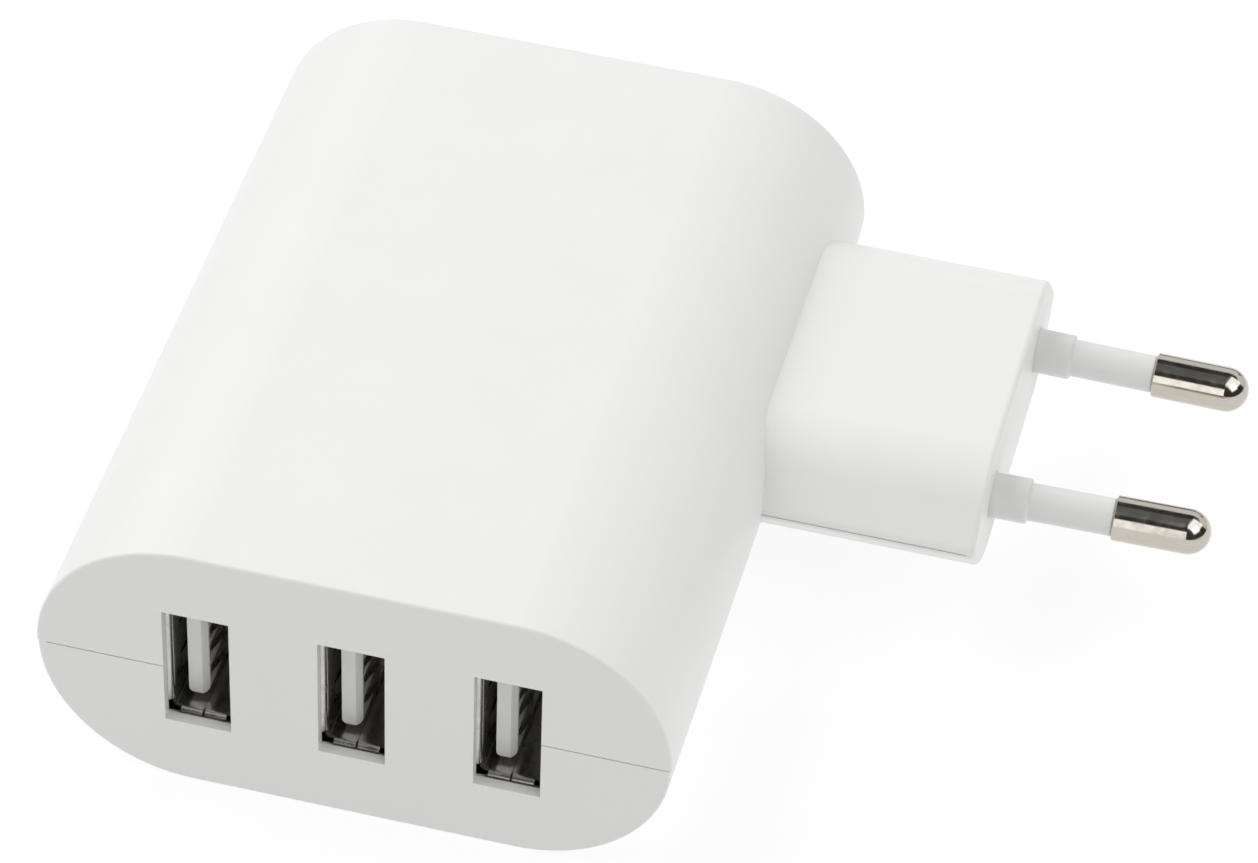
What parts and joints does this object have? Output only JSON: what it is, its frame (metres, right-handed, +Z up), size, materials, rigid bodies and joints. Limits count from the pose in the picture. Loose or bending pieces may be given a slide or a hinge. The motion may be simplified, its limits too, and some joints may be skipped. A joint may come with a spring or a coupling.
{
  "type": "usb wall charger",
  "caption": "White plug-in mains charger: a flat body with round sides, USB-A ports on one edge and a round-pin mains plug on the side.",
  "frame": {"origin": "centre of the flat underside of the body, on the surface that the charger lies on", "axes": "+X runs out along the mains pins, +Y from the port face to the back, +Z up from the underside"},
  "size_m": [0.0932, 0.072, 0.0266],
  "materials": {
    "housing_abs": "moulded white plastic, satin",
    "sleeve_pbt": "moulded white plastic, satin",
    "pin_plating": "bright nickel plate on brass",
    "port_steel": "nickel-plated stamped steel",
    "tongue_pbt": "moulded white plastic",
    "contact_plating": "plated copper-alloy strip",
    "board_laminate": "green lacquered glass-fibre laminate",
    "polyester_sheet": "milky film",
    "ferrite": "sintered, dark grey",
    "coil_former": "moulded black plastic",
    "enamelled_wire": "copper wire under clear enamel",
    "polyester_tape": "yellow film tape",
    "core_coating": "green powder coating",
    "mains_can": "black shrink sleeve",
    "polymer_can": "bare drawn can",
    "moulded_epoxy": "black moulding compound",
    "capacitor_box": "yellow case",
    "disc_lacquer": "blue dipped coating",
    "fuse_case": "brown case",
    "heat_sink_metal": "bare rolled sheet",
    "screw_steel": "zinc plated",
    "tinned_wire": "tinned",
    "solder": "bright solder",
    "wire_cover_brown": "soft insulation",
    "wire_cover_blue": "soft insulation"
  },
  "bodies": {
    "root": {"bottom_shell": "housing_abs", "bridge_rectifier": "moulded_epoxy", "bulk_capacitor_1": "mains_can", "bulk_capacitor_2": "mains_can", "choke_base": "coil_former", "choke_core": "core_coating", "choke_windings": "enamelled_wire", "component_leads": "tinned_wire", "fuse": "fuse_case", "heat_sink": "heat_sink_metal", "heat_sink_screw": "screw_steel", "insulation_sheet": "polyester_sheet", "main_board": "board_laminate", "optocoupler": "moulded_epoxy", "output_capacitor_1": "polymer_can", "output_capacitor_2": "polymer_can", "output_choke_core": "ferrite", "output_choke_winding": "enamelled_wire", "output_rectifier": "moulded_epoxy", "pin_1": "pin_plating", "pin_2": "pin_plating", "pin_plate": "housing_abs", "pin_sleeve_1": "sleeve_pbt", "pin_sleeve_2": "sleeve_pbt", "port_controller": "moulded_epoxy", "solder_joints": "solder", "surge_varistor": "disc_lacquer", "switching_controller": "moulded_epoxy", "top_shell": "housing_abs", "transformer_bobbin": "coil_former", "transformer_core": "ferrite", "transformer_tape": "polyester_tape", "transformer_winding": "enamelled_wire", "usb_contacts_1": "contact_plating", "usb_contacts_2": "contact_plating", "usb_contacts_3": "contact_plating", "usb_insulator_1": "tongue_pbt", "usb_insulator_2": "tongue_pbt", "usb_insulator_3": "tongue_pbt", "usb_shell_1": "port_steel", "usb_shell_2": "port_steel", "usb_shell_3": "port_steel", "wire_live": "wire_cover_brown", "wire_neutral": "wire_cover_blue", "x_capacitor": "capacitor_box", "y_capacitor": "disc_lacquer"}
  },
  "joints": []
}
